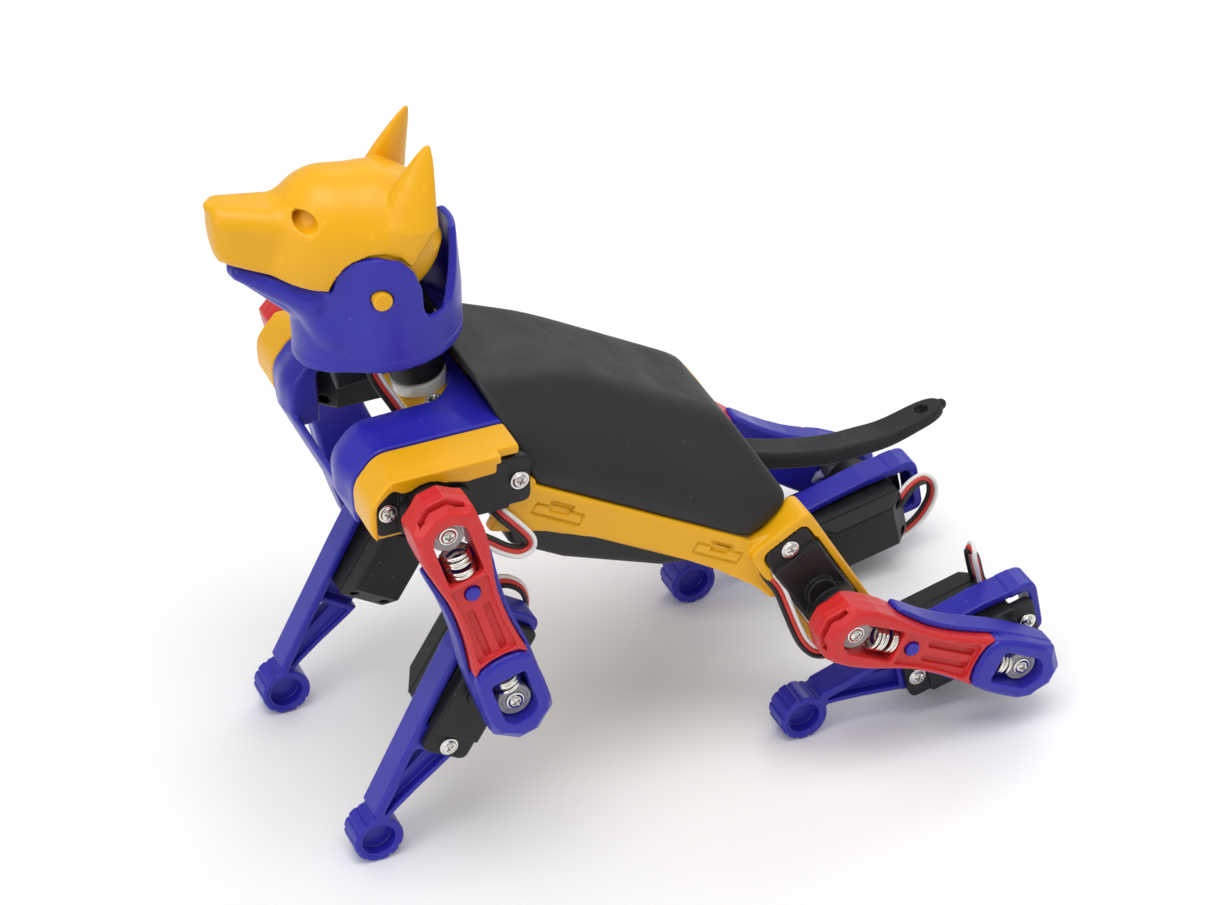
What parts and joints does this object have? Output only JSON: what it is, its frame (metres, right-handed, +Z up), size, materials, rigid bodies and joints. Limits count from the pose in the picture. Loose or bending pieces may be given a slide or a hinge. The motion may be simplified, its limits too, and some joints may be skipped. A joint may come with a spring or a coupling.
{
  "type": "quadruped robot dog",
  "caption": "Small four-legged robot dog with sprung servo-driven legs, a turning head with an opening mouth, a back cover and a curved tail.",
  "frame": {"origin": "on the ground under the middle of the object's outer box, between the feet", "axes": "+X forward towards the nose, +Y to the dog's left, +Z up"},
  "size_m": [0.174, 0.0948, 0.1554],
  "materials": {
    "yellow": "satin moulded",
    "blue": "satin moulded",
    "red": "satin moulded",
    "black": "fine matte texture",
    "cover": "fine matte texture",
    "board": "solder mask",
    "horn": "translucent nylon",
    "steel": "nickel plated",
    "spring_steel": "bright spring wire",
    "lead": "soft insulated wire",
    "tail_rubber": "soft matte",
    "button": "matte"
  },
  "bodies": {
    "chassis": {"chassis": "yellow", "chest_yoke": "blue", "left_shoulder_cap": "yellow", "right_shoulder_cap": "yellow", "back_cover": "cover", "main_board": "board", "servo_screws": "steel", "servo_leads": "lead", "neck_horn": "horn", "tail": "tail_rubber", "front_left_hip_servo": "black", "front_right_hip_servo": "black", "rear_left_hip_servo": "black", "rear_right_hip_servo": "black"},
    "battery": {"battery_pack": "black"},
    "battery_button": {"battery_button": "button"},
    "head": {"neck_servo": "black", "jaw_collar": "blue"},
    "skull": {"skull": "yellow"},
    "front_left_hip_horn": {"front_left_hip_horn": "horn"},
    "front_left_thigh": {"front_left_thigh_outer": "red", "front_left_thigh_inner": "blue", "front_left_hip_spring": "spring_steel", "front_left_knee_spring": "spring_steel"},
    "front_left_knee_horn": {"front_left_knee_horn": "horn"},
    "front_left_shank": {"front_left_knee_servo": "black", "front_left_shank": "blue", "front_left_shank_screws": "steel"},
    "front_right_hip_horn": {"front_right_hip_horn": "horn"},
    "front_right_thigh": {"front_right_thigh_outer": "red", "front_right_thigh_inner": "blue", "front_right_hip_spring": "spring_steel", "front_right_knee_spring": "spring_steel"},
    "front_right_knee_horn": {"front_right_knee_horn": "horn"},
    "front_right_shank": {"front_right_knee_servo": "black", "front_right_shank": "blue", "front_right_shank_screws": "steel"},
    "rear_left_hip_horn": {"rear_left_hip_horn": "horn"},
    "rear_left_thigh": {"rear_left_thigh_outer": "red", "rear_left_thigh_inner": "blue", "rear_left_hip_spring": "spring_steel", "rear_left_knee_spring": "spring_steel"},
    "rear_left_knee_horn": {"rear_left_knee_horn": "horn"},
    "rear_left_shank": {"rear_left_knee_servo": "black", "rear_left_shank": "blue", "rear_left_shank_screws": "steel"},
    "rear_right_hip_horn": {"rear_right_hip_horn": "horn"},
    "rear_right_thigh": {"rear_right_thigh_outer": "red", "rear_right_thigh_inner": "blue", "rear_right_hip_spring": "spring_steel", "rear_right_knee_spring": "spring_steel"},
    "rear_right_knee_horn": {"rear_right_knee_horn": "horn"},
    "rear_right_shank": {"rear_right_knee_servo": "black", "rear_right_shank": "blue", "rear_right_shank_screws": "steel"}
  },
  "joints": [
    {"name": "neck_pan", "type": "hinge", "parent": "chassis", "child": "head", "pos_m": [0.04608, 0, 0.09871], "axis": [0.1736, 0, 0.9848], "range_deg": [-75, 75]},
    {"name": "mouth_hinge", "type": "hinge", "parent": "head", "child": "skull", "pos_m": [0.05616, -0.00054, 0.1261], "axis": [-0.1029, -0.9945, 0.0182], "range_deg": [0, 20]},
    {"name": "battery_slide", "type": "slide", "parent": "chassis", "child": "battery", "axis": [-0.866, 0, -0.5], "range_m": [-0.005, 0.005]},
    {"name": "battery_button_press", "type": "slide", "parent": "battery", "child": "battery_button", "axis": [-0.6225, 0, 0.7826], "range_m": [0, 0.0008], "stiffness_N_per_m": 300},
    {"name": "front_left_hip", "type": "hinge", "parent": "chassis", "child": "front_left_hip_horn", "pos_m": [0.05726, 0.041, 0.08935], "axis": [0, -1, 0], "range_deg": [-14, 90]},
    {"name": "front_left_hip_spring_slide", "type": "slide", "parent": "front_left_hip_horn", "child": "front_left_thigh", "axis": [0.2807, 0, 0.9598], "range_m": [0, 0.0025], "stiffness_N_per_m": 3000, "springref_m": -0.0005, "deforming": ["front_left_hip_spring"]},
    {"name": "front_left_knee_spring_slide", "type": "slide", "parent": "front_left_thigh", "child": "front_left_knee_horn", "axis": [0.2807, 0, 0.9598], "range_m": [0, 0.0025], "stiffness_N_per_m": 3000, "springref_m": -0.0005, "deforming": ["front_left_knee_spring"]},
    {"name": "front_left_knee", "type": "hinge", "parent": "front_left_knee_horn", "child": "front_left_shank", "pos_m": [0.04412, 0.04, 0.04443], "axis": [0, -1, 0], "range_deg": [-60, 80]},
    {"name": "front_right_hip", "type": "hinge", "parent": "chassis", "child": "front_right_hip_horn", "pos_m": [0.05726, -0.041, 0.08935], "axis": [0, -1, 0], "range_deg": [-14, 90]},
    {"name": "front_right_hip_spring_slide", "type": "slide", "parent": "front_right_hip_horn", "child": "front_right_thigh", "axis": [0.2639, 0, 0.9646], "range_m": [0, 0.0025], "stiffness_N_per_m": 3000, "springref_m": -0.0005, "deforming": ["front_right_hip_spring"]},
    {"name": "front_right_knee_spring_slide", "type": "slide", "parent": "front_right_thigh", "child": "front_right_knee_horn", "axis": [0.2639, 0, 0.9646], "range_m": [0, 0.0025], "stiffness_N_per_m": 3000, "springref_m": -0.0005, "deforming": ["front_right_knee_spring"]},
    {"name": "front_right_knee", "type": "hinge", "parent": "front_right_knee_horn", "child": "front_right_shank", "pos_m": [0.04491, -0.04, 0.04421], "axis": [0, -1, 0], "range_deg": [-60, 80]},
    {"name": "rear_left_hip", "type": "hinge", "parent": "chassis", "child": "rear_left_hip_horn", "pos_m": [-0.03368, 0.041, 0.03685], "axis": [0, -1, 0], "range_deg": [-60, 80]},
    {"name": "rear_left_hip_spring_slide", "type": "slide", "parent": "rear_left_hip_horn", "child": "rear_left_thigh", "axis": [0.887, 0, 0.4617], "range_m": [0, 0.0025], "stiffness_N_per_m": 3000, "springref_m": -0.0005, "deforming": ["rear_left_hip_spring"]},
    {"name": "rear_left_knee_spring_slide", "type": "slide", "parent": "rear_left_thigh", "child": "rear_left_knee_horn", "axis": [0.887, 0, 0.4617], "range_m": [0, 0.0025], "stiffness_N_per_m": 3000, "springref_m": -0.0005, "deforming": ["rear_left_knee_spring"]},
    {"name": "rear_left_knee", "type": "hinge", "parent": "rear_left_knee_horn", "child": "rear_left_shank", "pos_m": [-0.07519, 0.04, 0.01524], "axis": [0, -1, 0], "range_deg": [-110, 2]},
    {"name": "rear_right_hip", "type": "hinge", "parent": "chassis", "child": "rear_right_hip_horn", "pos_m": [-0.03368, -0.041, 0.03685], "axis": [0, -1, 0], "range_deg": [-60, 80]},
    {"name": "rear_right_hip_spring_slide", "type": "slide", "parent": "rear_right_hip_horn", "child": "rear_right_thigh", "axis": [0.8669, 0, 0.4985], "range_m": [0, 0.0025], "stiffness_N_per_m": 3000, "springref_m": -0.0005, "deforming": ["rear_right_hip_spring"]},
    {"name": "rear_right_knee_spring_slide", "type": "slide", "parent": "rear_right_thigh", "child": "rear_right_knee_horn", "axis": [0.8669, 0, 0.4985], "range_m": [0, 0.0025], "stiffness_N_per_m": 3000, "springref_m": -0.0005, "deforming": ["rear_right_knee_spring"]},
    {"name": "rear_right_knee", "type": "hinge", "parent": "rear_right_knee_horn", "child": "rear_right_shank", "pos_m": [-0.07425, -0.04, 0.01352], "axis": [0, -1, 0], "range_deg": [-110, 2]}
  ]
}
